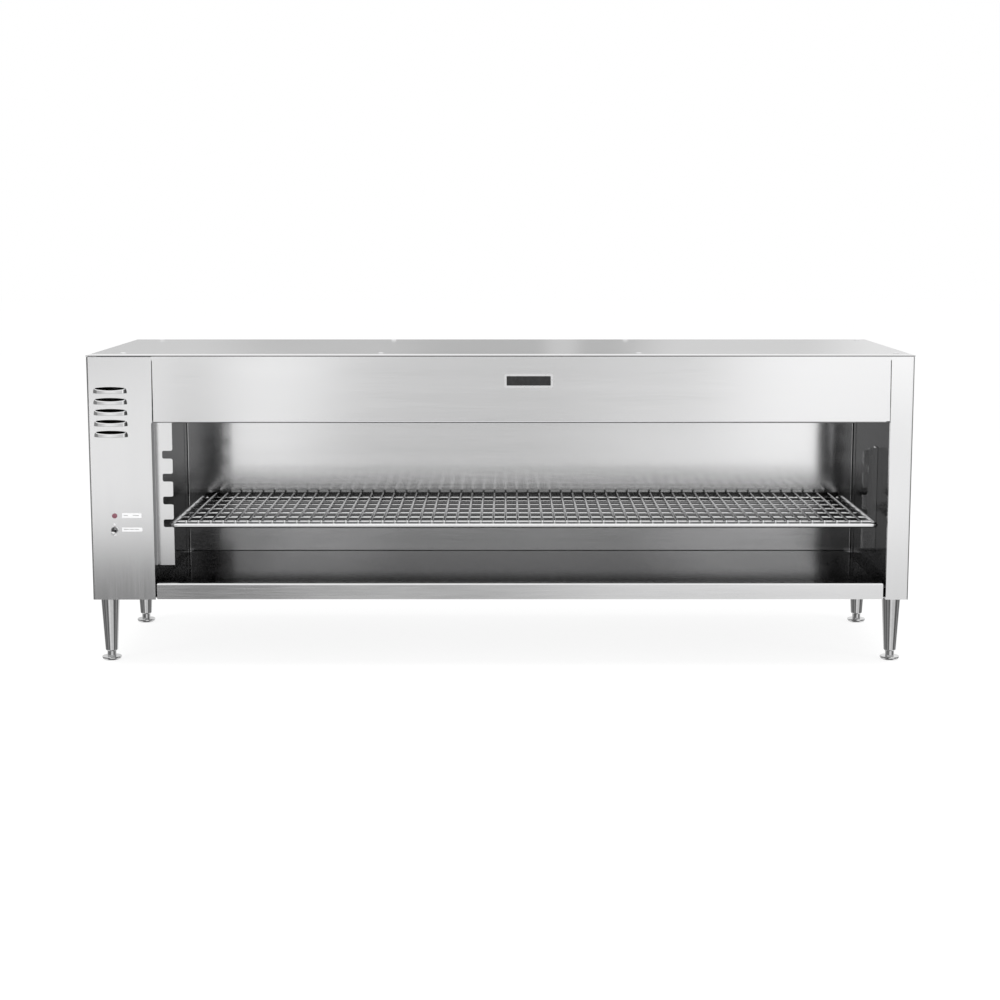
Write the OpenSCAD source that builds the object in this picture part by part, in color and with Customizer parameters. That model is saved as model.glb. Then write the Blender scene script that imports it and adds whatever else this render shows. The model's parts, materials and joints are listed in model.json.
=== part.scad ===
// Countertop cheese melter: a low stainless steel cabinet on four adjustable legs, open at the
// front, with tubular heating elements under its ceiling, a wire rack in notched guides, a
// pull-out drip tray and a control compartment with louvers at the left.
// The cabinet's own pieces are drawn from its front face backwards and from its underside up.

/* [Cabinet] */
// Overall width of the cabinet
cabinet_w = 1219.2; // [1100:1:1300]
// Depth of the cabinet from front face to rear face
cabinet_d = 406.4; // [390:1:460]
// Height of the cabinet without its legs
cabinet_h = 364.9; // [340:1:400]
// Thickness of the outer and inner sheets
sheet_t = 1.2; // [0.8:0.1:1.6]
// Outer radius of the folded corners
bend_r = 2.8; // [2.2:0.1:4]
// Width of the control compartment's front
control_w = 93.6; // [88:0.2:110]
// Width of the post at the right of the opening
post_w = 33.6; // [30:0.2:40]
// Height of the hood's face above the opening
hood_h = 98.1; // [85:0.1:110]
// Height of the shadow gap under the cover's front edge
cover_seam = 0.4; // [0.3:0.1:1]

/* [Cavity] */
// Gap from the control compartment's edge out to the cavity's left wall
left_wall_set = 4.5; // [3.5:0.1:8]
// Gap from the post's edge out to the cavity's right wall
right_wall_set = 7; // [4:0.1:12]
// Depth of the cavity behind the front face
cavity_d = 337; // [325:1:345]
// Distance from the cabinet's top down to the cavity's ceiling
ceiling_drop = 52.9; // [45:0.1:60]
// Length of the back wall's side flanges
back_flange = 20; // [12:1:24]

/* [Heating elements] */
// Number of hairpin elements
element_count = 3; // [2:1:3]
// Radius of an element's tube
element_r = 4; // [3:0.25:5]
// Distance from the ceiling down to the elements' middle
element_drop = 24; // [18:0.5:28]
// Distance between the two legs of one hairpin
element_gap = 46; // [36:1:50]
// Distance from one hairpin to the next
element_pitch = 92; // [84:1:96]
// Distance of the first leg behind the front face
element_y = 62; // [50:1:70]

/* [Rack] */
// Radius of the rack's frame rod
rod_r = 3.7; // [3:0.1:4.5]
// Radius of the rack's wires
wire_r = 2; // [1.5:0.1:2.4]
// Number of wires from front to back
cross_count = 56; // [30:1:60]
// Distance from a side rod to the first wire from front to back
cross_first = 22.7; // [16:0.1:30]
// Number of wires from side to side
long_count = 6; // [4:1:7]
// Distance between the wires from side to side
long_pitch = 44.2; // [36:0.1:44.2]
// Place of the first side-to-side wire behind the front bar
long_first = 26; // [18:1:28]
// Distance of the front bar's centre behind the front face
rack_front = 18; // [16:0.5:18.5]
// Distance from the cavity's back to the rear bar's centre
rack_rear_gap = 19; // [10:0.5:40]
// Corner radius of the frame at the rod's centre
rack_corner_r = 10; // [8:1:14]
// Distance from the control compartment's edge to the rack's left rod
rack_left = 23; // [21:0.1:26]
// Distance from the post's edge to the rack's right rod
rack_right = 13.2; // [12.5:0.1:15]

/* [Rack guides] */
// Thickness of the guide plates
guide_t = 1.5; // [1.2:0.1:2]
// Number of notches
notch_count = 4; // [3:1:4]
// Distance from one notch to the next
notch_pitch = 34.5; // [30:0.1:36]
// Height of a notch
notch_h = 11.8; // [11:0.1:13]
// Depth of the left guide's notches
notch_depth = 15.3; // [13.5:0.1:17]
// Depth of the right guide's notches
right_notch_depth = 8.6; // [8:0.1:14]
// Radius of the notch corners
notch_r = 2.6; // [1.5:0.1:3.5]
// Height of the lowest notch above the cabinet's underside
notch_z = 106; // [95:0.5:115]
// Lower end of the left guide
left_guide_z = 48.5; // [40:0.5:60]
// Distance of the left guide behind the front face
left_guide_y = 24; // [24:0.5:28]
// Lower end of the right guide
right_guide_z = 57; // [45:1:65]
// Upper end of the right guide
right_guide_top = 214; // [211:0.5:220]
// Distance of the right guide behind the front face
right_guide_y = 127.5; // [110:0.5:150]

/* [Drip tray] */
// Height of the tray's front lip above the cabinet's underside
tray_lip_z = 25; // [23:0.5:30]
// Depth of the folded front lip
tray_lip_d = 12; // [8:0.5:16]
// Height of the tray's floor above the cabinet's underside
tray_floor_z = 18; // [15:0.5:20]
// Gap between the tray's rear edge and the cavity's back
tray_rear_gap = 6; // [2:0.5:30]
// Gap at the left end of the tray
tray_gap = 2.4; // [1.5:0.1:3.5]
// Gap at the right end of the tray
tray_gap_right = 4.2; // [1.5:0.1:5]
// Gap between the tray's sides and the ledges beside it
ledge_gap = 0.6; // [0.4:0.1:1]
// Corner radius at the ends of the front lip
tray_corner_r = 3; // [2:0.5:6]

/* [Louvers] */
// Number of louvers
louver_count = 5; // [3:1:7]
// Distance between the centres of a louver's two rounded ends
louver_mid_w = 35.4; // [30:0.2:40]
// Height of a louver
louver_h = 10.4; // [8:0.1:11]
// Distance from one louver to the next
louver_pitch = 16.2; // [14:0.1:18]
// Distance from the cabinet's top down to the top louver's lower edge
louver_drop = 56.7; // [48:0.1:70]
// Distance of the louvers' middle from the cabinet's left side
louver_x = 34.2; // [32:0.2:40]
// How far a louver stands out
louver_out = 4.4; // [3:0.1:6]
// Height of a louver's lip
louver_lip_h = 4.4; // [4:0.1:6]
// Rise of a louver's sloped underside
louver_rise = 1.2; // [1:0.1:2.4]
// Radius of a louver's bowed face, seen from above
louver_bow_r = 180; // [150:5:400]
// Radius of a louver's rounded ends, seen from above
louver_end_r = 9; // [8:0.1:10]
// Corner radius at the top of a louver's opening
louver_r = 7.5; // [5:0.1:7.8]

/* [Switch and pilot light] */
// Distance of the switch and the light from the cabinet's left side
controls_x = 36; // [30:0.5:40]
// Height of the switch above the cabinet's underside
switch_z = 106; // [90:1:112]
// Height of the pilot light above the cabinet's underside
pilot_z = 126.7; // [122:0.5:140]
// Radius of the switch's threaded bushing
bushing_r = 5; // [5:0.1:5.4]
// Bore radius of the bushing
bushing_bore_r = 3.7; // [3.6:0.1:3.8]
// How far the bushing stands out
bushing_out = 5; // [4:0.1:6]
// Radius of the switch's round face nut
nut_r = 6.3; // [6:0.1:7.5]
// Length of the toggle lever from its pivot
lever_l = 19; // [15:0.5:22]
// Lever's angle below level when off
lever_angle = 13; // [8:1:14]
// Radius of the pilot lens
lens_r = 3.1; // [2.8:0.1:4.5]

/* [Legs] */
// Height of the cabinet's underside above the counter
leg_h = 104.2; // [95:0.2:125]
// Distance of a leg's centre from the cabinet's side
leg_inset_x = 13.4; // [13:0.1:30]
// Distance of a leg's centre from the front and rear faces
leg_inset_y = 60.6; // [40:0.2:80]
// Radius of a leg at its top
leg_top_r = 14.5; // [13:0.1:18]
// Radius of a leg at its lower end
leg_end_r = 9.3; // [8.4:0.1:11]
// Height of a foot's disc
foot_h = 5.6; // [4:0.1:7]
// Radius of a foot's disc
foot_r = 14.6; // [12:0.1:18]
// Height of a foot's collar
collar_h = 7.8; // [5:0.1:10]
// Radius of a foot's collar
collar_r = 6.7; // [6:0.1:8]
// Radius of a foot's threaded stem
stem_r = 4.7; // [4:0.1:5]
// Length of a foot's threaded stem
stem_l = 46; // [30:1:50]

/* [Fasteners and supply] */
// Distance of the cover's first screws from the cabinet's left side
screw_x = 46.6; // [40:0.1:50]
// Distance of the cover's last screws from the cabinet's right side
screw_end_x = 19.4; // [17:0.1:40]
// Distance of the front screws behind the front face
screw_front_y = 43.4; // [38:0.1:48]
// Distance of the rear screws from the rear face
screw_rear_y = 31; // [20:0.1:36]
// Radius of a screw's head
screw_head_r = 4.2; // [3.5:0.1:5]
// Height of a screw's head
screw_head_h = 2.2; // [1.6:0.1:3]
// Radius of the supply opening in the rear panel
inlet_r = 11.1; // [10:0.1:14]
// Distance of the supply opening from the cabinet's left side
inlet_x = 46; // [40:1:60]
// Height of the supply opening above the cabinet's underside
inlet_z = 60; // [45:1:80]

/* [Fits] */
// Gap between pieces that are fixed side by side
seat_gap = 0.3; // [0.2:0.05:0.5]
// Gap between a moving piece and what it rests on
rest_gap = 0.3; // [0.2:0.05:0.5]
// Gap between touching rods and wires
weld_gap = 0.05; // [0.02:0.01:0.1]

/* [Hidden] */
$fn = 32;

// Outline of the cabinet
x_left = -cabinet_w / 2;
x_right = cabinet_w / 2;
open_left = x_left + control_w;
open_right = x_right - post_w;
fold_r = bend_r - sheet_t / 2;
cover_z = cabinet_h - sheet_t;
front_top = cover_z - cover_seam;
rear_y = cabinet_d - sheet_t;
hood_z = front_top - hood_h;
side_return = 20;
hood_return = 20;
hood_lip = 12;
hood_top_flange = 16;
hem = 8;
panel_flange = 14;
leg_flange = 32;
top_flange = 12;
cover_out = 0.8;
panel_drop = 0.6;
flange_set = 2;
stud_r = 5;
stud_l = 7.5;
// Overlap that makes two shapes one piece
fuse = 0.01;
// How far a cutting shape reaches past what it cuts
past = 1;

// Cavity
wall_left = open_left - left_wall_set;
wall_right = open_right + right_wall_set;
wall_z = 2 * sheet_t;
ceiling_z = cabinet_h - ceiling_drop;
ceiling_lip = 26;
ceiling_y = hood_return + 2 * sheet_t + seat_gap;
wool_gap = 0.3;
wool_depth = 25;

// Rails under the cover
rail_end = top_flange + 3;
rail_h = 24;
rail_w = 42;
rail_set = 3;
front_rail_y = hood_return - sheet_t;
rear_rail_y = rear_y - rail_set;

// Slits between the hood and its neighbours, closing near the top
slit_end = 4.4;
slit_top = front_top - slit_end;
slit_taper = 2.5;
panel_wide = 2.5;
panel_lean = 1;
hood_left = open_left + 3.5;
hood_right = open_right - 3.4;
hood_lean = 3;
post_lean = 0.8;
tab_gap = 0.9;
tab_in = 6;

// Rack
rod_z = notch_z + rest_gap + rod_r;
rod_left = open_left + rack_left;
rod_right = open_right - rack_right;
cross_z = rod_z + rod_r + wire_r + weld_gap;
long_z = cross_z - 2 * wire_r - weld_gap;
rack_mid = (rod_left + rod_right) / 2;
cross_over = 2;
cross_pitch = (rod_right - rod_left - 2 * cross_first) / (cross_count - 1);
rack_d = cavity_d - rack_front - rack_rear_gap;

// Guides: where their tips stand against the rods, and the left guide's upper end
left_tip_set = 0.7;
left_tip = rod_left + rod_r - left_tip_set;
right_tip_over = 2.3;
right_tip = rod_right - right_tip_over;
guide_return = 24;
guide_top_gap = 3;
left_guide_top = ceiling_z - ceiling_lip - guide_top_gap;

// Elements: their right turn, their terminals and the straps that hold them
element_end = 46;
element_z = ceiling_z - element_drop;
terminal_l = 14;
terminal_out = 26;
hanger_x = 330;
hanger_flange = 12;
hanger_t = 2;
hanger_below = 4;

// Switch lever
pivot_in = 2;
lever_r = 1.6;
lever_tip_r = 2.9;
nut_t = 2.4;
nut_edge = 0.5;
pivot_fit = 0.06;
pivot_r = bushing_bore_r - pivot_fit;
lever_reach = (lever_l - lever_tip_r) * cos(lever_angle) + lever_tip_r - pivot_in;
front_out = max(lever_reach, louver_out);
lever_neck = 8;
inlet_out = 3;
inlet_in = 12;
inlet_flange = 4;
inlet_wall = 2.5;
front_y = -(cabinet_d + inlet_out - front_out) / 2;

// Switch behind the panel, with its three blades
switch_w = 16;
switch_h = 26;
switch_d = 28.5;
bushing_bore_d = 8;
pin_r = 0.9;
pin_l = 9.4;
pin_fit = 0.05;
blade_w = 5;
blade_t = 1;
blade_l = 8;
blade_pitch = 9;

// Pilot light
barrel_wall = 0.4;
pilot_barrel_r = lens_r + barrel_wall;
pilot_l = 28;
bezel_w = 0.7;
bezel_h = 0.9;
lens_in = 4;
lens_dome = 1.6;

// Terminal blocks: depth, width and length of one, and its pockets
block_d = 22;
block_w = 15.8;
block_l = 46;
block_y = 150;
block_z = 120;
pocket_l = 18;
pocket_w = 8;
pocket_d = 9;

// Screws, and the rear panel's screw places
screw_shank_r = 2;
screw_edge_share = 0.45;
screw_top_share = 0.72;
cover_screw_l = 7;
back_screw_l = 4;
back_screw_inset = 7;
back_screw_end = 30;
screw_pitch = (cabinet_w - screw_x - screw_end_x) / 3;
cover_screws = [for (i = [0 : 3]) for (y = [screw_front_y, cabinet_d - screw_rear_y])
    [x_left + screw_x + i * screw_pitch, y]];
back_screw_places = [for (x = [x_left + back_screw_inset, x_right - back_screw_inset])
    for (z = [back_screw_end, cabinet_h / 2, cabinet_h - back_screw_end]) [x, z]];

// Legs, their nuts and their feet
leg_end_z = foot_h + collar_h + rest_gap;
leg_chamfer = 1.8;
leg_nut_r = 8.6;
leg_nut_h = 6;
foot_round = 3.2;
foot_mid_in = 0.33;
foot_mid_up = 0.4;
foot_edge = 0.6;
stem_room = 3;

// Length and ends of the tray, and the lower edge of its front
tray_d = cavity_d - tray_rear_gap;
tray_left = open_left + tray_gap;
tray_right = open_right - tray_gap_right;
skirt_z = 0.6;

// Louver's plan: half angle of its bowed face, centres of its rounded ends, and its width
louver_t = 0.8;
louver_arch_r = 170;
louver_inset = 1.2;
louver_a = asin(louver_mid_w / 2 / (louver_bow_r - louver_end_r));
louver_end_y = louver_bow_r - louver_out - (louver_bow_r - louver_end_r) * cos(louver_a);
louver_w = louver_mid_w + 2 * sqrt(louver_end_r * louver_end_r - louver_end_y * louver_end_y);

steel = [0.80, 0.80, 0.81];
bright_steel = [0.72, 0.72, 0.73];
chrome = [0.85, 0.85, 0.87];
dark_metal = [0.30, 0.30, 0.31];
wool = [0.88, 0.85, 0.72];
red = [0.75, 0.06, 0.08];
white = [0.92, 0.91, 0.88];

// Moves its children from the cabinet's own frame to the part's frame
module in_cabinet() translate([0, front_y, leg_h]) children();

// Box between two corners
module block(low, high) translate(low) cube(high - low);

// Cross-section of a sheet folded along right angles: path runs along the sheet's middle
module fold_2d(path, t = sheet_t, r = fold_r) {
    n = len(path);
    for (i = [0 : n - 2]) {
        u = (path[i + 1] - path[i]) / norm(path[i + 1] - path[i]);
        from = path[i] + u * (i > 0 ? r : 0);
        to = path[i + 1] - u * (i < n - 2 ? r : 0);
        translate(from) rotate(atan2(u[1], u[0])) translate([0, -t / 2]) square([norm(to - from), t]);
    }
    for (i = [1 : n - 2]) {
        u = (path[i] - path[i - 1]) / norm(path[i] - path[i - 1]);
        v = (path[i + 1] - path[i]) / norm(path[i + 1] - path[i]);
        mid = path[i] - u * r + v * r;
        far = r + t;
        intersection() {
            translate(mid) difference() {
                circle(r = r + t / 2);
                circle(r = r - t / 2);
            }
            polygon([mid, mid - v * far, mid - v * far + u * far, mid + u * far]);
        }
    }
}

// Folded sheet standing up: path in plan
module folded_up(path, z0, z1) translate([0, 0, z0]) linear_extrude(z1 - z0) fold_2d(path);

// Folded sheet lying along X: path as [distance back, height]
module folded_along(path, x0, x1) translate([x0, 0, 0]) rotate([90, 0, 90]) linear_extrude(x1 - x0)
    fold_2d(path);

// Front view outline made into a solid that spans y0 to y1
module front_prism(points, y0, y1) translate([0, y1, 0]) rotate([90, 0, 0])
    linear_extrude(y1 - y0) polygon(points);

// Round bar along X, Y or Z
module bar_x(x0, x1, y, z, r) translate([x0, y, z]) rotate([0, 90, 0]) cylinder(h = x1 - x0, r = r);
module bar_y(x, y0, y1, z, r) translate([x, y0, z]) rotate([-90, 0, 0]) cylinder(h = y1 - y0, r = r);

// Pan-head screw, its head's underside at the origin and its shank downwards
module screw(shank) {
    rotate_extrude() polygon([[0, -shank], [screw_shank_r, -shank], [screw_shank_r, 0],
        [screw_head_r, 0], [screw_head_r, screw_head_h * screw_edge_share],
        [screw_head_r * screw_top_share, screw_head_h], [0, screw_head_h]]);
}

// Clearance holes for the cover's screws and the rear panel's screws
module cover_screw_holes() for (p = cover_screws) translate([p[0], p[1], cover_z - 2 * sheet_t])
    cylinder(h = 4 * sheet_t, r = screw_shank_r + seat_gap);
module back_screw_holes() for (p = back_screw_places)
    bar_y(p[0], rear_y - 3 * sheet_t, cabinet_d + sheet_t, p[1], screw_shank_r + seat_gap);

// ---------- Outer sheets ----------

module top_cover() color(steel) in_cabinet() difference() {
    block([x_left, -cover_out, cover_z], [x_right, cabinet_d, cabinet_h]);
    cover_screw_holes();
}

// Front outline of a louver: straight at its foot, arched at its top, ends and foot drawn in
module louver_outline(inset) {
    half = louver_w / 2 - inset;
    r = louver_r - inset;
    intersection() {
        union() {
            translate([-half, 0]) square([2 * half, louver_h - r]);
            translate([-half + r, 0]) square([2 * half - 2 * r, louver_h]);
            for (s = [-1, 1]) translate([s * (half - r), louver_h - r]) circle(r = r);
        }
        translate([-half, inset]) square([2 * half, louver_h]);
        translate([0, louver_h - louver_arch_r]) circle(r = louver_arch_r, $fn = 360);
    }
}

// Section through a louver's lip, its face at radius r: distance outwards, height
module louver_section(r) translate([r - louver_out, 0]) polygon([[0, 0], [louver_out, louver_rise],
    [louver_out, louver_h], [louver_out - louver_t, louver_h],
    [louver_out - louver_t, louver_rise + louver_t], [0, louver_t]]);

// Scoop of a louver: bowed face, sloped underside and rounded ends, open towards the top
module louver_scoop() {
    mouth = atan((louver_h - louver_lip_h) / louver_out);
    difference() {
        intersection() {
            union() {
                translate([0, louver_bow_r - louver_out, 0]) rotate([0, 0, -90 - louver_a])
                    rotate_extrude(angle = 2 * louver_a, $fn = 720) louver_section(louver_bow_r);
                for (s = [-1, 1]) translate([s * louver_mid_w / 2, louver_end_y, 0])
                    rotate([0, 0, s > 0 ? louver_a - 90 : 180])
                    rotate_extrude(angle = 90 - louver_a, $fn = 64) louver_section(louver_end_r);
            }
            translate([0, sheet_t / 2, 0]) rotate([90, 0, 0]) linear_extrude(louver_out + 2 * sheet_t)
                louver_outline(0);
        }
        translate([0, 0, louver_h]) rotate([mouth, 0, 0])
            block([-louver_w, -2 * louver_h, 0], [louver_w, louver_h, 2 * louver_h]);
    }
}

module each_louver() for (i = [0 : louver_count - 1])
    translate([x_left + louver_x, 0, cabinet_h - louver_drop - i * louver_pitch]) children();

module control_panel() color(steel) in_cabinet() {
    top = front_top - panel_drop;
    wide = open_left + panel_wide;
    difference() {
        union() {
            folded_up([[x_left + sheet_t / 2, side_return - seat_gap], [x_left + sheet_t / 2, sheet_t / 2],
                [open_left, sheet_t / 2]], 0, top);
            front_prism([[open_left - hem, hood_z], [wide - panel_lean, hood_z], [wide, slit_top],
                [wide, top], [open_left - hem, top]], 0, sheet_t);
            block([open_left - hem, sheet_t - fuse, 0], [open_left, 2 * sheet_t, top]);
            for (z = [0, top - sheet_t])
                block([x_left + bend_r, sheet_t - fuse, z], [open_left - hem, panel_flange, z + sheet_t]);
        }
        each_louver() translate([0, 2 * sheet_t, 0]) rotate([90, 0, 0])
            linear_extrude(3 * sheet_t) louver_outline(louver_inset);
        bar_y(x_left + controls_x, -sheet_t, 3 * sheet_t, switch_z, bushing_r + weld_gap);
        bar_y(x_left + controls_x, -sheet_t, 3 * sheet_t, pilot_z, pilot_barrel_r + weld_gap);
    }
    each_louver() louver_scoop();
}

// Hood over the opening, with a tab at its right end behind the slit
module hood_panel() color(steel) in_cabinet() {
    intersection() {
        union() {
            folded_along([[sheet_t / 2, front_top], [sheet_t / 2, hood_z + sheet_t / 2],
                [hood_return, hood_z + sheet_t / 2], [hood_return, hood_z + hood_lip]],
                open_left, open_right);
            block([open_left, sheet_t - fuse, front_top - sheet_t],
                [open_right, hood_top_flange, front_top]);
        }
        front_prism([[open_left + panel_wide, front_top + past], [open_left + panel_wide, slit_top],
            [hood_left, slit_top - slit_taper], [hood_left, hood_z - past],
            [hood_right - hood_lean, hood_z - past], [hood_right, slit_top - slit_taper],
            [open_right - post_lean, slit_top], [open_right - post_lean, front_top + past]],
            -sheet_t, hood_return + 2 * sheet_t);
    }
    tab_left = hood_right - hood_lean - tab_in;
    front_prism([[tab_left, hood_z + bend_r], [open_right - tab_gap, hood_z + bend_r],
        [open_right - post_lean - tab_gap, slit_top], [tab_left, slit_top]], sheet_t - fuse, 2 * sheet_t);
}

// Flanges of a side panel that turn inwards at its top and underside, for the side at -X
module side_flanges(y0) {
    block([x_left + sheet_t - fuse, y0, 0], [x_left + leg_flange, rear_y - flange_set, sheet_t]);
    block([x_left + sheet_t - fuse, y0, cover_z - sheet_t],
        [x_left + top_flange, rear_y - flange_set, cover_z]);
}

// Holes for the legs' studs at one side
module side_holes(side) for (y = [leg_inset_y, cabinet_d - leg_inset_y])
    translate([side * (cabinet_w / 2 - leg_inset_x), y, -sheet_t])
        cylinder(h = 2 * wall_z, r = stud_r + seat_gap);

module left_side_panel() color(steel) in_cabinet() difference() {
    union() {
        folded_up([[x_left + sheet_t / 2, side_return], [x_left + sheet_t / 2, rear_y - sheet_t / 2],
            [x_left + top_flange, rear_y - sheet_t / 2]], 0, cover_z);
        side_flanges(side_return);
    }
    side_holes(-1);
    back_screw_holes();
}

// Side panel that folds round into the post at the right of the opening
module right_side_panel() color(steel) in_cabinet() difference() {
    union() {
        folded_up([[open_right, sheet_t / 2], [x_right - sheet_t / 2, sheet_t / 2],
            [x_right - sheet_t / 2, rear_y - sheet_t / 2], [x_right - top_flange, rear_y - sheet_t / 2]],
            0, cover_z);
        block([open_right, sheet_t - fuse, 0], [open_right + sheet_t, hem, hood_z]);
        front_prism([[open_right, hood_z], [open_right - post_lean, slit_top],
            [open_right - post_lean, front_top], [open_right + past, front_top],
            [open_right + past, hood_z]], 0, sheet_t);
        mirror([1, 0, 0]) side_flanges(hem);
    }
    block([open_right - hem, -sheet_t, front_top], [x_right + sheet_t, hem + seat_gap, cabinet_h]);
    side_holes(1);
    back_screw_holes();
}

module back_panel() color(steel) in_cabinet() difference() {
    block([x_left, rear_y, 0], [x_right, cabinet_d, cover_z]);
    bar_y(x_left + inlet_x, rear_y - sheet_t, cabinet_d + sheet_t, inlet_z, inlet_r);
    back_screw_holes();
}

module base_panel() color(steel) in_cabinet() difference() {
    block([x_left + sheet_t + seat_gap, hem + seat_gap, sheet_t],
        [x_right - sheet_t - seat_gap, rear_y - sheet_t - seat_gap, wall_z]);
    side_holes(-1);
    side_holes(1);
}

module front_rail() color(bright_steel) in_cabinet() difference() {
    folded_along([[front_rail_y, cover_z - rail_h], [front_rail_y, cover_z - sheet_t / 2],
        [front_rail_y + rail_w, cover_z - sheet_t / 2]], x_left + rail_end, x_right - rail_end);
    cover_screw_holes();
}

module rear_rail() color(bright_steel) in_cabinet() difference() {
    folded_along([[rear_rail_y, cover_z - rail_h], [rear_rail_y, cover_z - sheet_t / 2],
        [rear_rail_y - rail_w, cover_z - sheet_t / 2]], x_left + rail_end, x_right - rail_end);
    cover_screw_holes();
}

// ---------- Cavity ----------

// Places of the element legs behind the front face
function element_leg_y(i, leg) = element_y + i * element_pitch + leg * element_gap;

// Ledge between a cavity wall and the tray, level with the tray's floor
module ledge(x0, x1, y0, y1) block([x0, y0, tray_floor_z - sheet_t], [x1, y1, tray_floor_z]);

module cavity_left_wall() color(bright_steel) in_cabinet() {
    difference() {
        block([wall_left - sheet_t, 2 * sheet_t, wall_z], [wall_left, cavity_d + sheet_t, ceiling_z]);
        for (i = [0 : element_count - 1]) for (leg = [0, 1])
            bar_x(wall_left - 2 * sheet_t, wall_left + sheet_t, element_leg_y(i, leg), element_z,
                element_r + seat_gap);
    }
    ledge(wall_left - fuse, tray_left - ledge_gap, 2 * sheet_t + seat_gap,
        cavity_d - back_flange - seat_gap);
}

module cavity_right_wall() color(bright_steel) in_cabinet() {
    block([wall_right, sheet_t, wall_z], [wall_right + sheet_t, cavity_d + sheet_t, ceiling_z]);
    ledge(tray_right + ledge_gap, wall_right + fuse, hem + seat_gap, cavity_d - back_flange - seat_gap);
}

module cavity_back_wall() color(bright_steel) in_cabinet() {
    left = wall_left + seat_gap + sheet_t / 2;
    right = wall_right - seat_gap - sheet_t / 2;
    folded_up([[left, cavity_d - back_flange], [left, cavity_d + sheet_t / 2],
        [right, cavity_d + sheet_t / 2], [right, cavity_d - back_flange]], wall_z, ceiling_z);
    ledge(left, tray_left - ledge_gap, cavity_d - back_flange, cavity_d - bend_r);
    ledge(tray_right + ledge_gap, right, cavity_d - back_flange, cavity_d - bend_r);
}

// Ceiling that lies on the side walls, its front lip turned down between them
module cavity_ceiling() color(bright_steel) in_cabinet() {
    folded_along([[ceiling_y, ceiling_z - ceiling_lip], [ceiling_y, ceiling_z + sheet_t / 2],
        [cavity_d, ceiling_z + sheet_t / 2]], wall_left + seat_gap, wall_right - seat_gap);
    block([wall_left - sheet_t, ceiling_y + bend_r, ceiling_z],
        [wall_right + sheet_t, cavity_d + sheet_t, ceiling_z + sheet_t]);
}

module top_insulation() color(wool) in_cabinet()
    block([wall_left, ceiling_y + bend_r, ceiling_z + sheet_t + wool_gap],
        [wall_right, cavity_d - bend_r, ceiling_z + sheet_t + wool_depth]);

module back_insulation() color(wool) in_cabinet()
    block([wall_left, cavity_d + sheet_t + wool_gap, wall_z + wool_gap],
        [wall_right, cavity_d + sheet_t + wool_depth, ceiling_z - bend_r]);

module side_insulation() color(wool) in_cabinet()
    block([wall_right + sheet_t + wool_gap, hem + wool_gap, wall_z + stud_l + wool_gap],
        [x_right - sheet_t - wool_gap, rear_y - back_screw_l, ceiling_z - bend_r]);

// ---------- Heating elements ----------

// Hairpin element: two legs along X, joined at the right by a half turn
module element(i) {
    turn = element_gap / 2;
    x0 = wall_left - terminal_out;
    x1 = wall_right - element_end;
    y0 = element_leg_y(i, 0);
    y1 = element_leg_y(i, 1);
    color(dark_metal) in_cabinet() {
        for (y = [y0, y1]) {
            bar_x(x0, x1, y, element_z, element_r);
            bar_x(x0 - terminal_l, x0 + fuse, y, element_z, element_r / 2);
        }
        translate([x1, (y0 + y1) / 2, element_z]) rotate([0, 0, -90]) rotate_extrude(angle = 180)
            translate([turn, 0]) circle(r = element_r);
    }
}
module element_front() element(0);
module element_middle() element(1);
module element_rear() if (element_count > 2) element(2);

// Straps under the ceiling that hold the elements' legs, at two places
module element_hangers() color(bright_steel) in_cabinet() {
    y0 = element_leg_y(0, 0) - hanger_flange;
    y1 = element_leg_y(element_count - 1, 1) + hanger_flange;
    for (x = [rack_mid - hanger_x, rack_mid + hanger_x]) difference() {
        union() {
            block([x, y0, element_z - element_r - hanger_below], [x + hanger_t, y1, ceiling_z]);
            block([x, y0, ceiling_z - sheet_t], [x + hanger_flange, y1, ceiling_z]);
        }
        for (i = [0 : element_count - 1]) for (leg = [0, 1])
            bar_x(x - hanger_t, x + 2 * hanger_t, element_leg_y(i, leg), element_z, element_r + seat_gap);
    }
}

// ---------- Rack guides ----------

// Comb outline in front view: straight edge at edge_x, notches open towards +X (side 1) or -X
module comb_2d(back_x, edge_x, z0, z1, depth, side) {
    r = notch_r;
    difference() {
        translate([min(back_x, edge_x), z0]) square([abs(edge_x - back_x), z1 - z0]);
        for (i = [0 : notch_count - 1]) translate([edge_x, notch_z + i * notch_pitch]) scale([side, 1])
            notch_2d(depth, r);
    }
}

// One notch, open towards +X, its mouth flared by rounded tooth corners
module notch_2d(depth, r) {
    translate([-depth + r, 0]) square([depth - r + 1, notch_h]);
    translate([-depth, r]) square([depth, notch_h - 2 * r]);
    for (z = [r, notch_h - r]) translate([-depth + r, z]) circle(r = r);
    for (s = [0, 1]) translate([-r, s * notch_h]) difference() {
        translate([0, s > 0 ? -fuse : -r]) square([r + 1, r + fuse]);
        translate([0, s > 0 ? r : -r]) circle(r = r);
    }
}

module rack_guide_left() color(steel) in_cabinet() {
    translate([0, left_guide_y + guide_t, 0]) rotate([90, 0, 0]) linear_extrude(guide_t)
        comb_2d(wall_left + seat_gap, left_tip, left_guide_z, left_guide_top, notch_depth, 1);
    block([open_left - guide_t, 2 * sheet_t + seat_gap, left_guide_z],
        [open_left, left_guide_y + fuse, left_guide_top]);
}

module rack_guide_right() color(bright_steel) in_cabinet() {
    translate([0, right_guide_y + guide_t, 0]) rotate([90, 0, 0]) linear_extrude(guide_t)
        comb_2d(wall_right - seat_gap, right_tip, right_guide_z, right_guide_top, right_notch_depth, -1);
    block([wall_right - seat_gap - guide_t, right_guide_y, right_guide_z],
        [wall_right - seat_gap, right_guide_y + guide_return, right_guide_top]);
}

// ---------- Rack ----------

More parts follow.
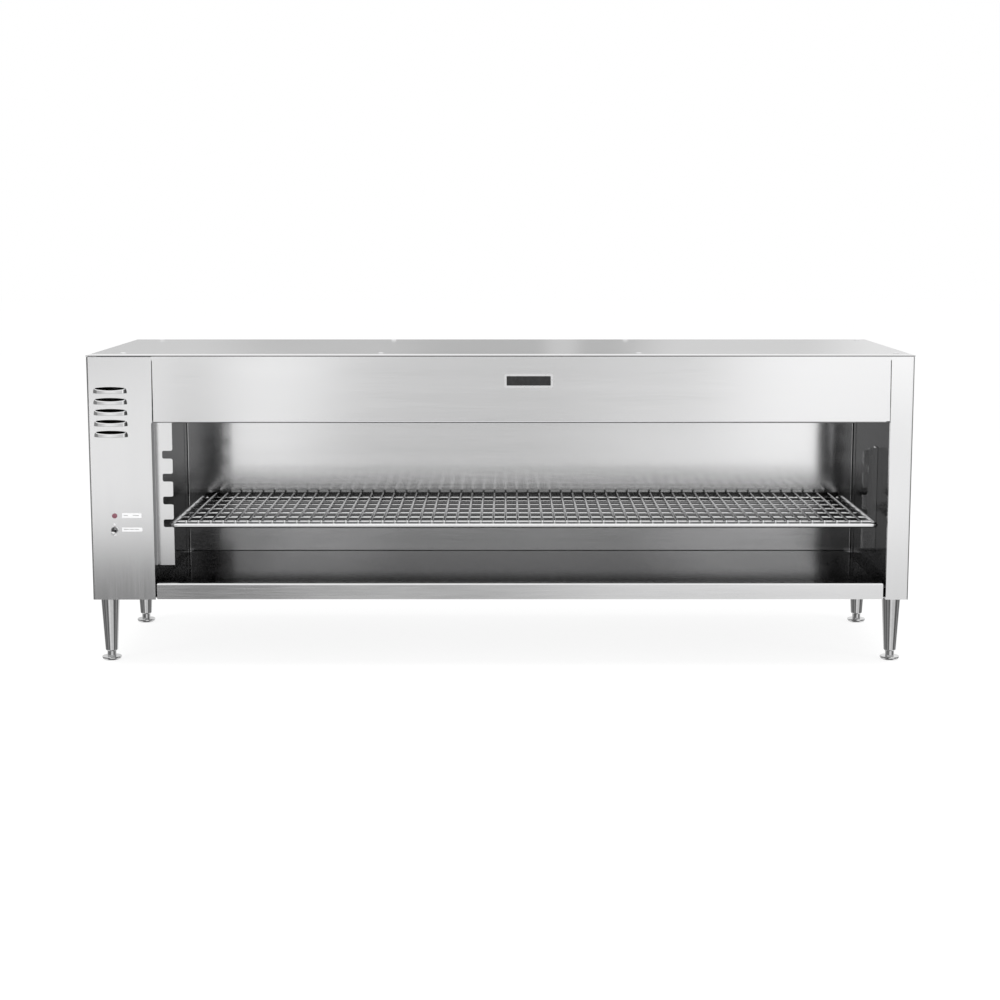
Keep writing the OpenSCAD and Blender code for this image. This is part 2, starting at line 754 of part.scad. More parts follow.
module rack_frame() color(chrome) in_cabinet() translate([0, rack_front, rod_z]) {
    c = rack_corner_r;
    for (y = [0, rack_d]) bar_x(rod_left + c, rod_right - c, y, 0, rod_r);
    for (x = [rod_left, rod_right]) bar_y(x, c, rack_d - c, 0, rod_r);
    for (k = [[rod_left + c, c, 180], [rod_right - c, c, 270], [rod_right - c, rack_d - c, 0],
            [rod_left + c, rack_d - c, 90]])
        translate([k[0], k[1], 0]) rotate([0, 0, k[2]]) rotate_extrude(angle = 90)
            translate([c, 0]) circle(r = rod_r);
}

module rack_cross_wires() color(chrome) in_cabinet() {
    x0 = rack_mid - (cross_count - 1) * cross_pitch / 2;
    for (i = [0 : cross_count - 1])
        bar_y(x0 + i * cross_pitch, rack_front - cross_over, rack_front + rack_d + cross_over, cross_z,
            wire_r, $fn = 16);
}

module rack_long_wires() color(chrome) in_cabinet()
    for (i = [0 : long_count - 1])
        bar_x(rod_left + rod_r, rod_right - rod_r, rack_front + long_first + i * long_pitch, long_z,
            wire_r, $fn = 16);

// ---------- Drip tray ----------

module drip_tray() color(bright_steel) in_cabinet() {
    base = wall_z + rest_gap;
    intersection() {
        folded_along([[sheet_t / 2, skirt_z], [sheet_t / 2, tray_lip_z - sheet_t / 2],
            [tray_lip_d, tray_lip_z - sheet_t / 2], [tray_lip_d, tray_floor_z - sheet_t]],
            tray_left, tray_right);
        tray_front_outline();
    }
    block([tray_left, tray_lip_d - sheet_t / 2, tray_floor_z - sheet_t],
        [tray_right, tray_d, tray_floor_z]);
    for (x = [tray_left, tray_right - sheet_t])
        block([x, tray_lip_d - sheet_t / 2, base], [x + sheet_t, tray_d, tray_floor_z - fuse]);
    block([tray_left, tray_d - sheet_t, base], [tray_right, tray_d, tray_floor_z - fuse]);
}

// Front outline of the tray with its two upper corners rounded
module tray_front_outline() translate([0, tray_lip_d + sheet_t, 0]) rotate([90, 0, 0])
    linear_extrude(tray_lip_d + 2 * sheet_t) {
    r = tray_corner_r;
    translate([tray_left, 0]) square([tray_right - tray_left, tray_lip_z - r]);
    translate([tray_left + r, 0]) square([tray_right - tray_left - 2 * r, tray_lip_z]);
    for (x = [tray_left + r, tray_right - r]) translate([x, tray_lip_z - r]) circle(r = r);
}

// ---------- Controls ----------

module at_switch() in_cabinet() translate([x_left + controls_x, 0, switch_z]) rotate([90, 0, 0])
    children();
module at_pilot() in_cabinet() translate([x_left + controls_x, 0, pilot_z]) rotate([90, 0, 0])
    children();

module switch_body() color(dark_metal) at_switch() {
    back = -sheet_t - seat_gap;
    difference() {
        union() {
            translate([0, 0, back - fuse]) cylinder(h = bushing_out - back + fuse, r = bushing_r);
            translate([-switch_w / 2, -switch_h / 2, back - switch_d]) cube([switch_w, switch_h, switch_d]);
        }
        translate([0, 0, -bushing_bore_d]) cylinder(h = 2 * bushing_bore_d, r = bushing_bore_r);
        pivot_pin(pin_fit);
    }
    for (y = [-1, 0, 1]) translate([-blade_w / 2, y * blade_pitch - blade_t / 2, back - switch_d - blade_l])
        cube([blade_w, blade_t, blade_l + fuse]);
}

// Round face nut with its edge taken off
module switch_nut() color(dark_metal) at_switch() difference() {
    rotate_extrude() polygon([[0, 0], [nut_r, 0], [nut_r, nut_t - nut_edge],
        [nut_r - nut_edge, nut_t], [0, nut_t]]);
    translate([0, 0, -nut_t]) cylinder(h = 3 * nut_t, r = bushing_r + weld_gap);
}

// Pin that the lever swings on, through the bushing
module pivot_pin(fit) translate([-pin_l / 2 - fit, 0, -pivot_in]) rotate([0, 90, 0])
    cylinder(h = pin_l + 2 * fit, r = pin_r + fit);

// Bat-handle lever with its ball and pin, at rest below level
module toggle_lever() color(chrome) at_switch() {
    translate([0, 0, -pivot_in]) rotate([lever_angle, 0, 0]) {
        rotate_extrude() polygon(concat([[0, 0], [lever_r, 0], [lever_r, lever_neck]],
            [for (a = [0 : 15 : 90]) [lever_tip_r * cos(a), lever_l + lever_tip_r * (sin(a) - 1)]]));
        sphere(r = pivot_r);
    }
    pivot_pin(0);
}

module pilot_body() color(dark_metal) at_pilot() difference() {
    union() {
        cylinder(h = bezel_h, r = lens_r + bezel_w);
        translate([0, 0, -pilot_l]) cylinder(h = pilot_l + fuse, r = pilot_barrel_r);
    }
    translate([0, 0, -lens_in]) cylinder(h = 2 * lens_in, r = lens_r + weld_gap);
}

module pilot_lens() color(red) at_pilot() rotate_extrude()
    polygon(concat([[0, -lens_in + seat_gap], [lens_r, -lens_in + seat_gap]],
        [for (a = [0 : 15 : 90]) [lens_r * cos(a), lens_dome + lens_dome * sin(a)]]));

// Three ceramic blocks side by side on the cavity's wall, each with two terminal pockets
module terminal_block() color(white) in_cabinet() for (k = [0 : 2])
    translate([wall_left - sheet_t - seat_gap - block_d,
        rear_y - block_y + k * (block_w + weld_gap), block_z]) difference() {
            cube([block_d, block_w, block_l]);
            for (z = [-1, block_l - pocket_l]) translate([-1, (block_w - pocket_w) / 2, z])
                cube([pocket_d + 1, pocket_w, pocket_l + 1]);
        }

module inlet_bushing() color(dark_metal) in_cabinet() translate([x_left + inlet_x, rear_y, inlet_z])
    rotate([-90, 0, 0]) difference() {
        union() {
            translate([0, 0, sheet_t]) cylinder(h = inlet_out, r = inlet_r + inlet_flange);
            translate([0, 0, -inlet_in]) cylinder(h = inlet_in + sheet_t + fuse, r = inlet_r - weld_gap);
        }
        translate([0, 0, -2 * inlet_in]) cylinder(h = 4 * inlet_in, r = inlet_r - inlet_wall);
    }

// ---------- Fasteners ----------

module top_screws() color(steel) in_cabinet()
    for (p = cover_screws) translate([p[0], p[1], cabinet_h]) screw(cover_screw_l);

module back_screws() color(steel) in_cabinet()
    for (p = back_screw_places) translate([p[0], cabinet_d, p[1]]) rotate([-90, 0, 0])
        screw(back_screw_l);

module leg_nuts() color(dark_metal) each_leg() translate([0, 0, leg_h + wall_z]) difference() {
    cylinder(h = leg_nut_h, r = leg_nut_r, $fn = 6);
    translate([0, 0, -1]) cylinder(h = 2 * leg_nut_h, r = stud_r + weld_gap);
}

// ---------- Legs and feet ----------

function leg_x(side) = side * (cabinet_w / 2 - leg_inset_x);
function leg_y(end) = front_y + (end > 0 ? cabinet_d - leg_inset_y : leg_inset_y);
module each_leg() for (s = [-1, 1]) for (e = [-1, 1]) translate([leg_x(s), leg_y(e), 0]) children();

// Tapered leg with its stud, bored from below for the foot's stem
module leg(side, end) color(chrome) translate([leg_x(side), leg_y(end), 0]) difference() {
    rotate_extrude() polygon([[0, leg_end_z], [leg_end_r - leg_chamfer, leg_end_z],
        [leg_end_r, leg_end_z + leg_chamfer], [leg_top_r, leg_h], [stud_r, leg_h],
        [stud_r, leg_h + wall_z + stud_l], [0, leg_h + wall_z + stud_l]]);
    translate([0, 0, leg_end_z - 1]) cylinder(h = stem_l + stem_room, r = stem_r + seat_gap);
}
module leg_front_left() leg(-1, -1);
module leg_front_right() leg(1, -1);
module leg_rear_left() leg(-1, 1);
module leg_rear_right() leg(1, 1);

// Adjustable foot: a disc rounded underneath, its collar and its stem
module foot(side, end) color(chrome) translate([leg_x(side), leg_y(end), 0]) rotate_extrude()
    polygon([[0, 0], [foot_r - foot_round, 0],
        [foot_r - foot_round * foot_mid_in, foot_round * foot_mid_up], [foot_r, foot_round],
        [foot_r, foot_h - foot_edge], [foot_r - foot_edge, foot_h], [collar_r, foot_h],
        [collar_r, foot_h + collar_h], [stem_r, foot_h + collar_h],
        [stem_r, foot_h + collar_h + stem_l], [0, foot_h + collar_h + stem_l]]);
module foot_front_left() foot(-1, -1);
module foot_front_right() foot(1, -1);
module foot_rear_left() foot(-1, 1);
module foot_rear_right() foot(1, 1);

top_cover();
control_panel();
hood_panel();
left_side_panel();
right_side_panel();
back_panel();
base_panel();
front_rail();
rear_rail();
cavity_left_wall();
cavity_right_wall();
cavity_back_wall();
cavity_ceiling();
top_insulation();
back_insulation();
side_insulation();
element_front();
element_middle();
element_rear();
element_hangers();
rack_guide_left();
rack_guide_right();
switch_body();
switch_nut();
pilot_body();
pilot_lens();
terminal_block();
inlet_bushing();
top_screws();
back_screws();
leg_front_left();
leg_front_right();
leg_rear_left();
leg_rear_right();
leg_nuts();
foot_front_left();
foot_front_right();
foot_rear_left();
foot_rear_right();
rack_frame();
rack_cross_wires();
rack_long_wires();
drip_tray();
toggle_lever();
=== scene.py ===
"""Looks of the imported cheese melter: materials, small trim, light and camera.

Lengths are metres in the shared frame: X to the right, Y to the rear, Z up. The small trim is
given in the cabinet's own millimetres: from its middle, behind its front, above its underside.
"""

import json
import math

import bmesh
import bpy
from mathutils import Matrix, Vector

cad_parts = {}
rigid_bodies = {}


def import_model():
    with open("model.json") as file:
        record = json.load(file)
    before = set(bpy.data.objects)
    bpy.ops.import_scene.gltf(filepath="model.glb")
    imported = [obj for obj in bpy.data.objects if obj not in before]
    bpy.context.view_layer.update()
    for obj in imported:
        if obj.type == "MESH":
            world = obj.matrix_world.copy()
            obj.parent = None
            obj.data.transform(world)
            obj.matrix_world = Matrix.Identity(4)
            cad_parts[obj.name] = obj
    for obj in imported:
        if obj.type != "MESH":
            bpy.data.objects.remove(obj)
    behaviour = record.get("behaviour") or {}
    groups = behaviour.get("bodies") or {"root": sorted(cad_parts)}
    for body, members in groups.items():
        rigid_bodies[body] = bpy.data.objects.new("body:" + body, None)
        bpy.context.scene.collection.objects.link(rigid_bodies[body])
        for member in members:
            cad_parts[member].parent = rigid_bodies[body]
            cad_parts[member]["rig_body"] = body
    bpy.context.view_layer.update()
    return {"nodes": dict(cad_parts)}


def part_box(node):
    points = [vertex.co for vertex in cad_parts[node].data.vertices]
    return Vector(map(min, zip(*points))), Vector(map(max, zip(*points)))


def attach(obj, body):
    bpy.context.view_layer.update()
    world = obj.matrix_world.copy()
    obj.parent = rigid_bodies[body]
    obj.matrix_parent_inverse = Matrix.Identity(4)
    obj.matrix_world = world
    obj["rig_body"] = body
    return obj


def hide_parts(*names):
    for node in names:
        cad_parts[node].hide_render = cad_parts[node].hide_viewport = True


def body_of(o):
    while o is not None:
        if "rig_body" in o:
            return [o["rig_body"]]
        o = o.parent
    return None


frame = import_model()
nodes = frame["nodes"]

MM = 0.001
AXES = {"x": 0, "y": 1, "z": 2}
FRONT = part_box("hood_panel")[0].y
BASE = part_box("control_panel")[0].z
RACK_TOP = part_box("rack_cross_wires")[1].z

# ---------- Camera ----------

# Fitted to 16 corners and edges of the cabinet in the photograph
LENS_MM = 69.63
SHIFT = (-0.00706, 0.00339)
CAMERA_RIGHT = 0.00969
CAMERA_AHEAD = 2.8435
CAMERA_HEIGHT = 0.554
CAMERA_TILT_DOWN = 8.176


def make_camera():
    """The photograph's camera; its height is above the cabinet's underside."""
    data = bpy.data.cameras.new("camera")
    data.sensor_width = 36.0
    data.lens = LENS_MM
    data.shift_x, data.shift_y = SHIFT
    data.clip_end = 60.0
    cam = bpy.data.objects.new("camera", data)
    cam.location = (CAMERA_RIGHT, FRONT - CAMERA_AHEAD, BASE + CAMERA_HEIGHT)
    cam.rotation_euler = (math.radians(90.0 - CAMERA_TILT_DOWN), 0.0, 0.0)
    bpy.context.scene.collection.objects.link(cam)
    bpy.context.scene.camera = cam


make_camera()

# ---------- Node helpers ----------


class Graph:
    """A small wrapper around a node tree. A value is a number, a colour or a node's output."""

    def __init__(self, tree):
        self.tree = tree
        tree.nodes.clear()

    def add(self, kind, props=None, **inputs):
        """A new node; the input i3 is its fourth socket, and Coat_Weight the one of that name."""
        node = self.tree.nodes.new(kind)
        for key, value in (props or {}).items():
            setattr(node, key, value)
        for key, value in inputs.items():
            numbered = key[0] == "i" and key[1:].isdigit()
            self.put(node.inputs[int(key[1:]) if numbered else key.replace("_", " ")], value)
        return node

    def put(self, socket, value):
        if isinstance(value, bpy.types.NodeSocket):
            self.tree.links.new(value, socket)
        else:
            socket.default_value = value

    def math(self, operation, a, b=0.0):
        return self.add("ShaderNodeMath", {"operation": operation}, i0=a, i1=b).outputs[0]

    def total(self, first, *rest):
        for item in rest:
            first = self.math("ADD", first, item)
        return first

    def times(self, first, *rest):
        for item in rest:
            first = self.math("MULTIPLY", first, item)
        return first

    def blend(self, factor, a, b):
        """a where factor is 0, b where it is 1."""
        return self.add("ShaderNodeMix", {"data_type": "FLOAT"}, i0=factor, i2=a, i3=b).outputs[0]

    def mix(self, factor, a, b):
        """The colour a where factor is 0, b where it is 1."""
        return self.add("ShaderNodeMix", {"data_type": "RGBA"}, i0=factor, i6=a, i7=b).outputs[2]

    def ramp(self, value, low, high, to_low, to_high, kind="LINEAR"):
        """to_low where value is low, to_high where it is high, and no further."""
        return self.add("ShaderNodeMapRange", {"clamp": True, "interpolation_type": kind},
                        i0=value, i1=low, i2=high, i3=to_low, i4=to_high).outputs[0]

    def step(self, value, start, end):
        """0 at start, 1 at end, smooth between them, whichever is larger."""
        if start < end:
            return self.ramp(value, start, end, 0.0, 1.0, "SMOOTHSTEP")
        return self.ramp(value, end, start, 1.0, 0.0, "SMOOTHSTEP")

    def patches(self, base, *rows):
        """base plus each row's amount times the product of its (value, start, end) steps."""
        return self.total(base, *(self.times(*(self.step(*edge) for edge in edges), amount)
                                  for amount, *edges in rows))

    def noise(self, vector, scale, detail=3.0):
        return self.add("ShaderNodeTexNoise", Vector=vector, Scale=scale, Detail=detail,
                        Roughness=0.5).outputs["Fac"]

    def scaled(self, vector, x, y, z):
        return self.add("ShaderNodeMapping", Vector=vector, Scale=(x, y, z)).outputs[0]

    def bump(self, height, strength, distance, **under):
        return self.add("ShaderNodeBump", Height=height, Strength=strength, Distance=distance,
                        **under).outputs[0]

    def parts(self, vector):
        return self.add("ShaderNodeSeparateXYZ", Vector=vector).outputs

    def place(self, axis):
        """Where the surface is along one axis of the shared frame."""
        return self.parts(self.where)[AXES[axis]]

    def normal(self):
        return self.add("ShaderNodeNewGeometry").outputs["Normal"]

    def facing(self, axis):
        """How far the surface faces along one axis, from -1 to 1."""
        return self.parts(self.normal())[AXES[axis]]


def material(name):
    """A material's graph with its Principled shader and output."""
    mat = bpy.data.materials.new(name)
    mat.use_nodes = True
    g = Graph(mat.node_tree)
    g.mat = mat
    out = g.add("ShaderNodeOutputMaterial")
    g.shader = g.add("ShaderNodeBsdfPrincipled")
    g.put(out.inputs["Surface"], g.shader.outputs[0])
    g.where = g.add("ShaderNodeTexCoord").outputs["Object"]
    return g


def rgba(tone):
    """A colour from one grey, a trace cool as steel is, or from red, green and blue."""
    if isinstance(tone, float):
        return (tone, tone, tone * 1.005, 1.0)
    return (*tone, 1.0)


# ---------- Painted shade and painted highlights: each is a mask from 0 to 1 ---


def painted_wall_shade(g):
    """Painted shade on the back wall: on its flanges, in a band behind the rack and in a fainter line
    above it.
    """
    height = g.place("z")
    sideways = g.math("ABSOLUTE", g.facing("x"))
    above = g.patches(0.0, (0.4, (height, RACK_TOP + 0.0055, RACK_TOP + 0.0015)),
                      (0.2, (height, RACK_TOP + 0.016, RACK_TOP + 0.006)))
    behind = g.times(g.step(height, RACK_TOP, RACK_TOP - 0.003), 0.86)
    band = g.times(g.math("MAXIMUM", above, behind),
                   g.step(height, RACK_TOP - 0.066, RACK_TOP - 0.050), g.step(sideways, 0.3, 0.1))
    return g.math("MAXIMUM", band, g.step(sideways, 0.22, 0.42))


def painted_seam_shade(g):
    """Painted shade on the cover's thin front edge: a dark seam line."""
    return g.times(g.step(g.facing("y"), -0.5, -0.9), 0.85)


def painted_guide_shade(g):
    """Painted shade on the flange at the left guide's outer edge."""
    return g.times(g.step(g.facing("x"), 0.2, 0.45),
                   g.step(g.place("y"), FRONT + 0.0245, FRONT + 0.0225), 0.8)


def painted_flange_shade(g):
    """Painted shade on the flange behind the control panel's right edge."""
    return g.step(g.facing("x"), 0.2, 0.45)


def painted_bend_shade(g):
    """Painted shade, at half strength, on the post's outer bend, and not on the flat side beyond it.
    """
    return g.times(g.step(g.facing("x"), 0.12, 0.7), g.step(g.facing("x"), 0.995, 0.97), 0.5)


def painted_floor_shade_and_reflection(g):
    """Painted shade on the tray's floor, lighter in two wide stripes of painted reflection, and not on
    its front lip.
    """
    x = g.place("x")
    shade_level = g.patches(0.86, (-0.13, (x, -0.43, -0.34), (x, -0.14, -0.27)),
                     (-0.22, (x, 0.18, 0.36), (x, 0.55, 0.48)))
    return g.times(g.step(g.place("z"), BASE + 0.0225, BASE + 0.0215),
                   g.step(g.place("y"), FRONT + 0.011, FRONT + 0.0125), shade_level)


def underside(g):
    """Painted shade on the lower sides of the rack's wires."""
    return g.times(g.step(g.facing("z"), -0.25, -0.75), 0.85)


def painted_end_highlight(g):
    """A painted highlight on the ground front ends of the rack's wires."""
    return g.step(g.facing("y"), -0.3, -0.6)


# ---------- Materials ----------


def brushed(name, grain, tone, rough, anisotropy, tint=1.0, painted_shade=None, rolled=False):
    """Stainless sheet with a satin grain along one axis: hairlines, faint streaks and clouds.

    A mask of painted shade darkens the sheet where it is 1, and rolled rounds the sheet's front edge
    over.
    """
    tone_change, rough_change = 0.025, 0.03
    g = material(name)
    fine = [16.0 if axis == grain else 2600.0 for axis in AXES]
    broad = [0.9 if axis == grain else 46.0 for axis in AXES]
    lines = g.noise(g.scaled(g.where, *fine), 1.0, 2.0)
    streaks = g.noise(g.scaled(g.where, *broad), 1.0)
    clouds = g.noise(g.where, 2.3, 2.0)
    mixed = g.total(g.times(lines, 0.45), g.times(streaks, 0.25), g.times(clouds, 0.3))
    colour = g.mix(g.ramp(mixed, 0.38, 0.62, 0.0, 1.0),
                   rgba(tone - tone_change), rgba(tone + tone_change))
    edge_colour = rgba(tint)
    # Painted shade: where the mask is 1 the sheet turns dark grey and its edge tint dims
    if painted_shade:
        mask = painted_shade(g)
        colour = g.mix(mask, colour, g.mix(mixed, rgba(0.10), rgba(0.20)))
        edge_colour = g.mix(mask, edge_colour, rgba(0.4))
    roll = {}
    if rolled:
        over = g.ramp(g.place("y"), FRONT - 0.002, FRONT + 0.036, 0.0, 1.0)
        roll["Normal"] = g.bump(over, 1.0, 0.0056)
    # The grain's direction, or the depth on faces that look along the grain
    turned_away = g.math("GREATER_THAN", g.math("ABSOLUTE", g.facing(grain)), 0.75)
    along = g.add("ShaderNodeMix", {"data_type": "VECTOR"}, i0=turned_away,
                  i4=tuple(float(axis == grain) for axis in AXES), i5=(0.0, 1.0, 0.0)).outputs[1]
    across = g.add("ShaderNodeVectorMath", {"operation": "CROSS_PRODUCT"}, i0=g.normal(), i1=along)
    inputs = g.shader.inputs
    g.put(inputs["Base Color"], colour)
    g.put(inputs["Specular Tint"], edge_colour)
    g.put(inputs["Roughness"], g.ramp(mixed, 0.35, 0.65, rough - rough_change, rough + rough_change))
    g.put(inputs["Normal"], g.bump(lines, 0.05, 0.00001, **roll))
    g.put(inputs["Tangent"], across.outputs[0])
    inputs["Metallic"].default_value = 1.0
    inputs["Anisotropic"].default_value = anisotropy
    return g.mat


def polished(name, low, high, rough, spread, metallic=1.0, grain=220.0, painted_shade=None, painted_highlight=None):
    """Plated, turned or plain stuff with slight clouding and pits, between two tones.

    One mask darkens places with painted shade, the other lightens places with a painted highlight.
    """
    g = material(name)
    clouds = g.noise(g.where, 9.0)
    pits = g.noise(g.where, grain, 2.0)
    tone = g.total(g.times(clouds, 0.6), g.times(pits, 0.4))
    colour = g.mix(g.ramp(tone, 0.35, 0.65, 0.0, 1.0), rgba(low), rgba(high))
    # Painted shade: where the mask is 1 the colour turns near black
    if painted_shade:
        colour = g.mix(painted_shade(g), colour, g.mix(tone, rgba(0.04), rgba(0.12)))
    # Painted highlight: where the mask is 1 the colour goes near white
    if painted_highlight:
        colour = g.mix(painted_highlight(g), colour, rgba(0.97))
    g.put(g.shader.inputs["Base Color"], colour)
    g.put(g.shader.inputs["Roughness"], g.ramp(tone, 0.3, 0.7, rough - spread, rough + spread))
    g.put(g.shader.inputs["Normal"], g.bump(pits, 0.03, 0.00005))
    g.shader.inputs["Metallic"].default_value = metallic
    return g.mat


def lens_material():
    """Red translucent cap of the pilot light, with fine ribs."""
    g = material("pilot_red")
    ribs = g.noise(g.scaled(g.where, 900.0, 60.0, 900.0), 1.0, 2.0)
    colour = g.mix(ribs, rgba((0.18, 0.06, 0.08)), rgba((0.33, 0.12, 0.16)))
    g.put(g.shader.inputs["Base Color"], colour)
    g.put(g.shader.inputs["Normal"], g.bump(ribs, 0.3, 0.0001))
    g.shader.inputs["Roughness"].default_value = 0.4
    g.shader.inputs["Coat Weight"].default_value = 0.2
    return g.mat


FINISHES = {
    # Brushed: grain, tone, roughness, anisotropy
    # Painted shade along the cover's front edge
    "cover": brushed("steel_cover", "x", 0.88, 0.13, 0.7, painted_shade=painted_seam_shade, rolled=True),
    "hood": brushed("steel_hood", "x", 0.88, 0.15, 0.8),
    # Painted shade on the flange behind the control panel's right edge
    "front": brushed("steel_front", "z", 0.88, 0.15, 0.8, painted_shade=painted_flange_shade),
    # Painted shade on the post's outer bend
    "post": brushed("steel_post", "z", 0.88, 0.15, 0.8, painted_shade=painted_bend_shade),
    "side": brushed("steel_side", "z", 0.86, 0.22, 0.7),
    "back": brushed("steel_back", "x", 0.80, 0.28, 0.6),
    # Painted shade on the back wall's flanges, behind the rack and above it
    "inner": brushed("steel_inner", "x", 0.88, 0.15, 0.7, painted_shade=painted_wall_shade),
    # The cavity's ceiling and side walls are steel in dark tones with dimmed edge tints: painted shade
    # inside the cavity
    "ceiling": brushed("steel_ceiling", "x", 0.14, 0.26, 0.4, tint=0.5),
    "inner_side": brushed("steel_inner_side", "z", 0.22, 0.14, 0.4, tint=0.35),
    # Painted shade on the tray's floor, with two stripes of painted reflection
    "tray": brushed("steel_tray", "x", 0.88, 0.10, 0.3, painted_shade=painted_floor_shade_and_reflection),
    # The right guide's lower tone is painted shade, as it sits set back in the cavity
    "guide_right": brushed("steel_guide_right", "z", 0.60, 0.16, 0.4),
    # Painted shade on the left guide's flange
    "guide": brushed("steel_guide", "z", 0.88, 0.15, 0.8, painted_shade=painted_guide_shade),
    # Polished: lower tone, upper tone, roughness, its spread
    # Painted shade on the lower sides of the rack's wires
    "chrome": polished("rack_chrome", 0.90, 0.97, 0.05, 0.02, painted_shade=underside),
    # The cross wires' lower tone is painted shade, and their ends carry a painted highlight
    "cross": polished("rack_chrome_painted_shade", 0.38, 0.48, 0.05, 0.02, painted_shade=underside, painted_highlight=painted_end_highlight),
    "lever": polished("lever_chrome", 0.82, 0.92, 0.05, 0.02),
    "leg": polished("leg_nickel", 0.72, 0.84, 0.06, 0.02),
    "screw": polished("screw_steel", 0.84, 0.94, 0.14, 0.05),
    "dark": polished("dark_nickel", 0.30, 0.42, 0.24, 0.08),
    "rim": polished("rim_bright", 0.86, 0.94, 0.3, 0.05),
    "element": polished("element_sheath", 0.05, 0.11, 0.5, 0.1),
    "print_white": polished("print_white", 0.90, 0.97, 0.5, 0.05, metallic=0.0),
    "print_grey": polished("print_grey", 0.30, 0.40, 0.5, 0.05, metallic=0.0),
    "enamel": polished("enamel_black", 0.012, 0.03, 0.22, 0.04, metallic=0.0),
    "ceramic": polished("ceramic", 0.72, 0.82, 0.6, 0.1, metallic=0.0),
    "wool": polished("mineral_wool", (0.55, 0.48, 0.30), (0.75, 0.68, 0.46), 0.95, 0.03,
                     metallic=0.0, grain=900.0),
    "lens": lens_material(),
}

NODES_IN = {
    "cover": ["top_cover"],
    "hood": ["hood_panel"],
    "front": ["control_panel"],
    "post": ["right_side_panel"],
    "side": ["left_side_panel"],
    "back": ["back_panel", "base_panel"],
    "inner": ["front_rail", "rear_rail", "cavity_back_wall"],
    "ceiling": ["cavity_ceiling", "element_hangers"],
    "inner_side": ["cavity_left_wall", "cavity_right_wall"],
    "tray": ["drip_tray"],
    "guide_right": ["rack_guide_right"],
    "guide": ["rack_guide_left"],
    "chrome": ["rack_frame", "rack_long_wires"],
    "cross": ["rack_cross_wires"],
    "lever": ["toggle_lever"],
    "leg": [f"{kind}_{end}_{side}" for kind in ("leg", "foot") for end in ("front", "rear")
            for side in ("left", "right")],
    "screw": ["top_screws", "back_screws", "leg_nuts"],
    "dark": ["switch_body", "switch_nut", "pilot_body", "inlet_bushing"],
    "element": ["element_front", "element_middle", "element_rear"],
    "ceramic": ["terminal_block"],
    "wool": ["top_insulation", "back_insulation", "side_insulation"],
    "lens": ["pilot_lens"],
}
for finish_name, node_names in NODES_IN.items():
    for node_name in node_names:
        slots = nodes[node_name].data.materials
        slots.clear()
        slots.append(FINISHES[finish_name])

# ---------- Small trim ----------

FORWARD = Matrix.Rotation(math.radians(90.0), 4, "X")
REARWARD = Matrix.Rotation(math.radians(-90.0), 4, "X")

WIRE_COUNT = 56
DOME_SHARE = 0.7  # a wire end's height as a share of its radius
HEAD_R, HEAD_H, HEAD_EDGE = 4.2, 2.2, 0.9
RECESS_REACH, RECESS_HALF, RECESS_FLOOR = 2.3, 0.42, 0.9

# Plates on the front face: left, right, bottom, top, corner radius
LABELS = ((-562.7, -533.7, 123.5, 131.0, 1.0), (-563.3, -532.8, 103.1, 109.2, 1.0))
NAMEPLATE_RIM = (5.8, 77.2, 317.4, 337.9, 2.0)
NAMEPLATE_FIELD = (9.0, 74.0, 320.7, 334.6, 1.0)
# Dashes on the labels: left, right, height
DASHES = ((-560.3, -553.9, 127.2), (-546.8, -537.6, 127.2), (-560.3, -553.0, 106.3),
          (-551.8, -545.6, 106.3), (-544.4, -537.6, 106.3))


def spot(x, y, z):
    """A place given in the cabinet's own millimetres."""
    return Vector((x * MM, FRONT + y * MM, BASE + z * MM))


def arc(angles, across, up):
    """Points (across * cos, up * sin) at angles in degrees."""
    return [(across * math.cos(math.radians(a)), up * math.sin(math.radians(a))) for a in angles]


def mesh_of(name, bm):
    """The closed shapes in bm as a mesh, with their faces turned outward."""
    bmesh.ops.recalc_face_normals(bm, faces=bm.faces[:])
    mesh = bpy.data.meshes.new(name)
    bm.to_mesh(mesh)
    bm.free()
    return mesh


def piece(name, bm, finish, slot_name, *replaced, body="cabinet", crease=35.0):
    """A piece of trim on a body, smooth except at edges sharper than crease degrees."""
    mesh = mesh_of(name, bm)
    mesh.materials.append(FINISHES[finish])
    for face in mesh.polygons:
        face.use_smooth = True
    mesh.set_sharp_from_angle(angle=math.radians(crease))
    obj = bpy.data.objects.new(name, mesh)
    bpy.context.scene.collection.objects.link(obj)
    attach(obj, body)
    if replaced:
        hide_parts(*replaced)


def turned(bm, profile, origin, turn_to, sides, closed=False, wave=None):
    """A profile of (radius, height) in millimetres turned about Z, then turned and put at origin.

    A closed profile is a ring round the axis, and wave(k, radius) scales the radius at spoke k.
    """
    rings = []
    for radius, height in profile:
        ring = []
        for k in range(sides if radius else 1):
            r = radius * MM * (wave(k, radius) if wave else 1.0)
            a = 2.0 * math.pi * k / sides
            ring.append(bm.verts.new((r * math.cos(a), r * math.sin(a), height * MM)))
        rings.append(ring)
    made = [v for ring in rings for v in ring]
    for one, two in zip(rings, rings[1:] + (rings[:1] if closed else [])):
        for k in range(sides):
            n = (k + 1) % sides
            corners = [one[k % len(one)], one[n % len(one)], two[n % len(two)], two[k % len(two)]]
            corners = [v for i, v in enumerate(corners) if v not in corners[:i]]
            if len(corners) > 2:
                bm.faces.new(corners)
    bmesh.ops.transform(bm, matrix=Matrix.Translation(origin) @ turn_to, verts=made)


def prism(bm, near, far):
    """A closed shape between two outlines with the same number of points."""
    near = [bm.verts.new(point) for point in near]
    far = [bm.verts.new(point) for point in far]
    bm.faces.new(near)
    bm.faces.new(far[::-1])
    for k in range(len(near)):
        n = (k + 1) % len(near)
        bm.faces.new((near[k], near[n], far[n], far[k]))


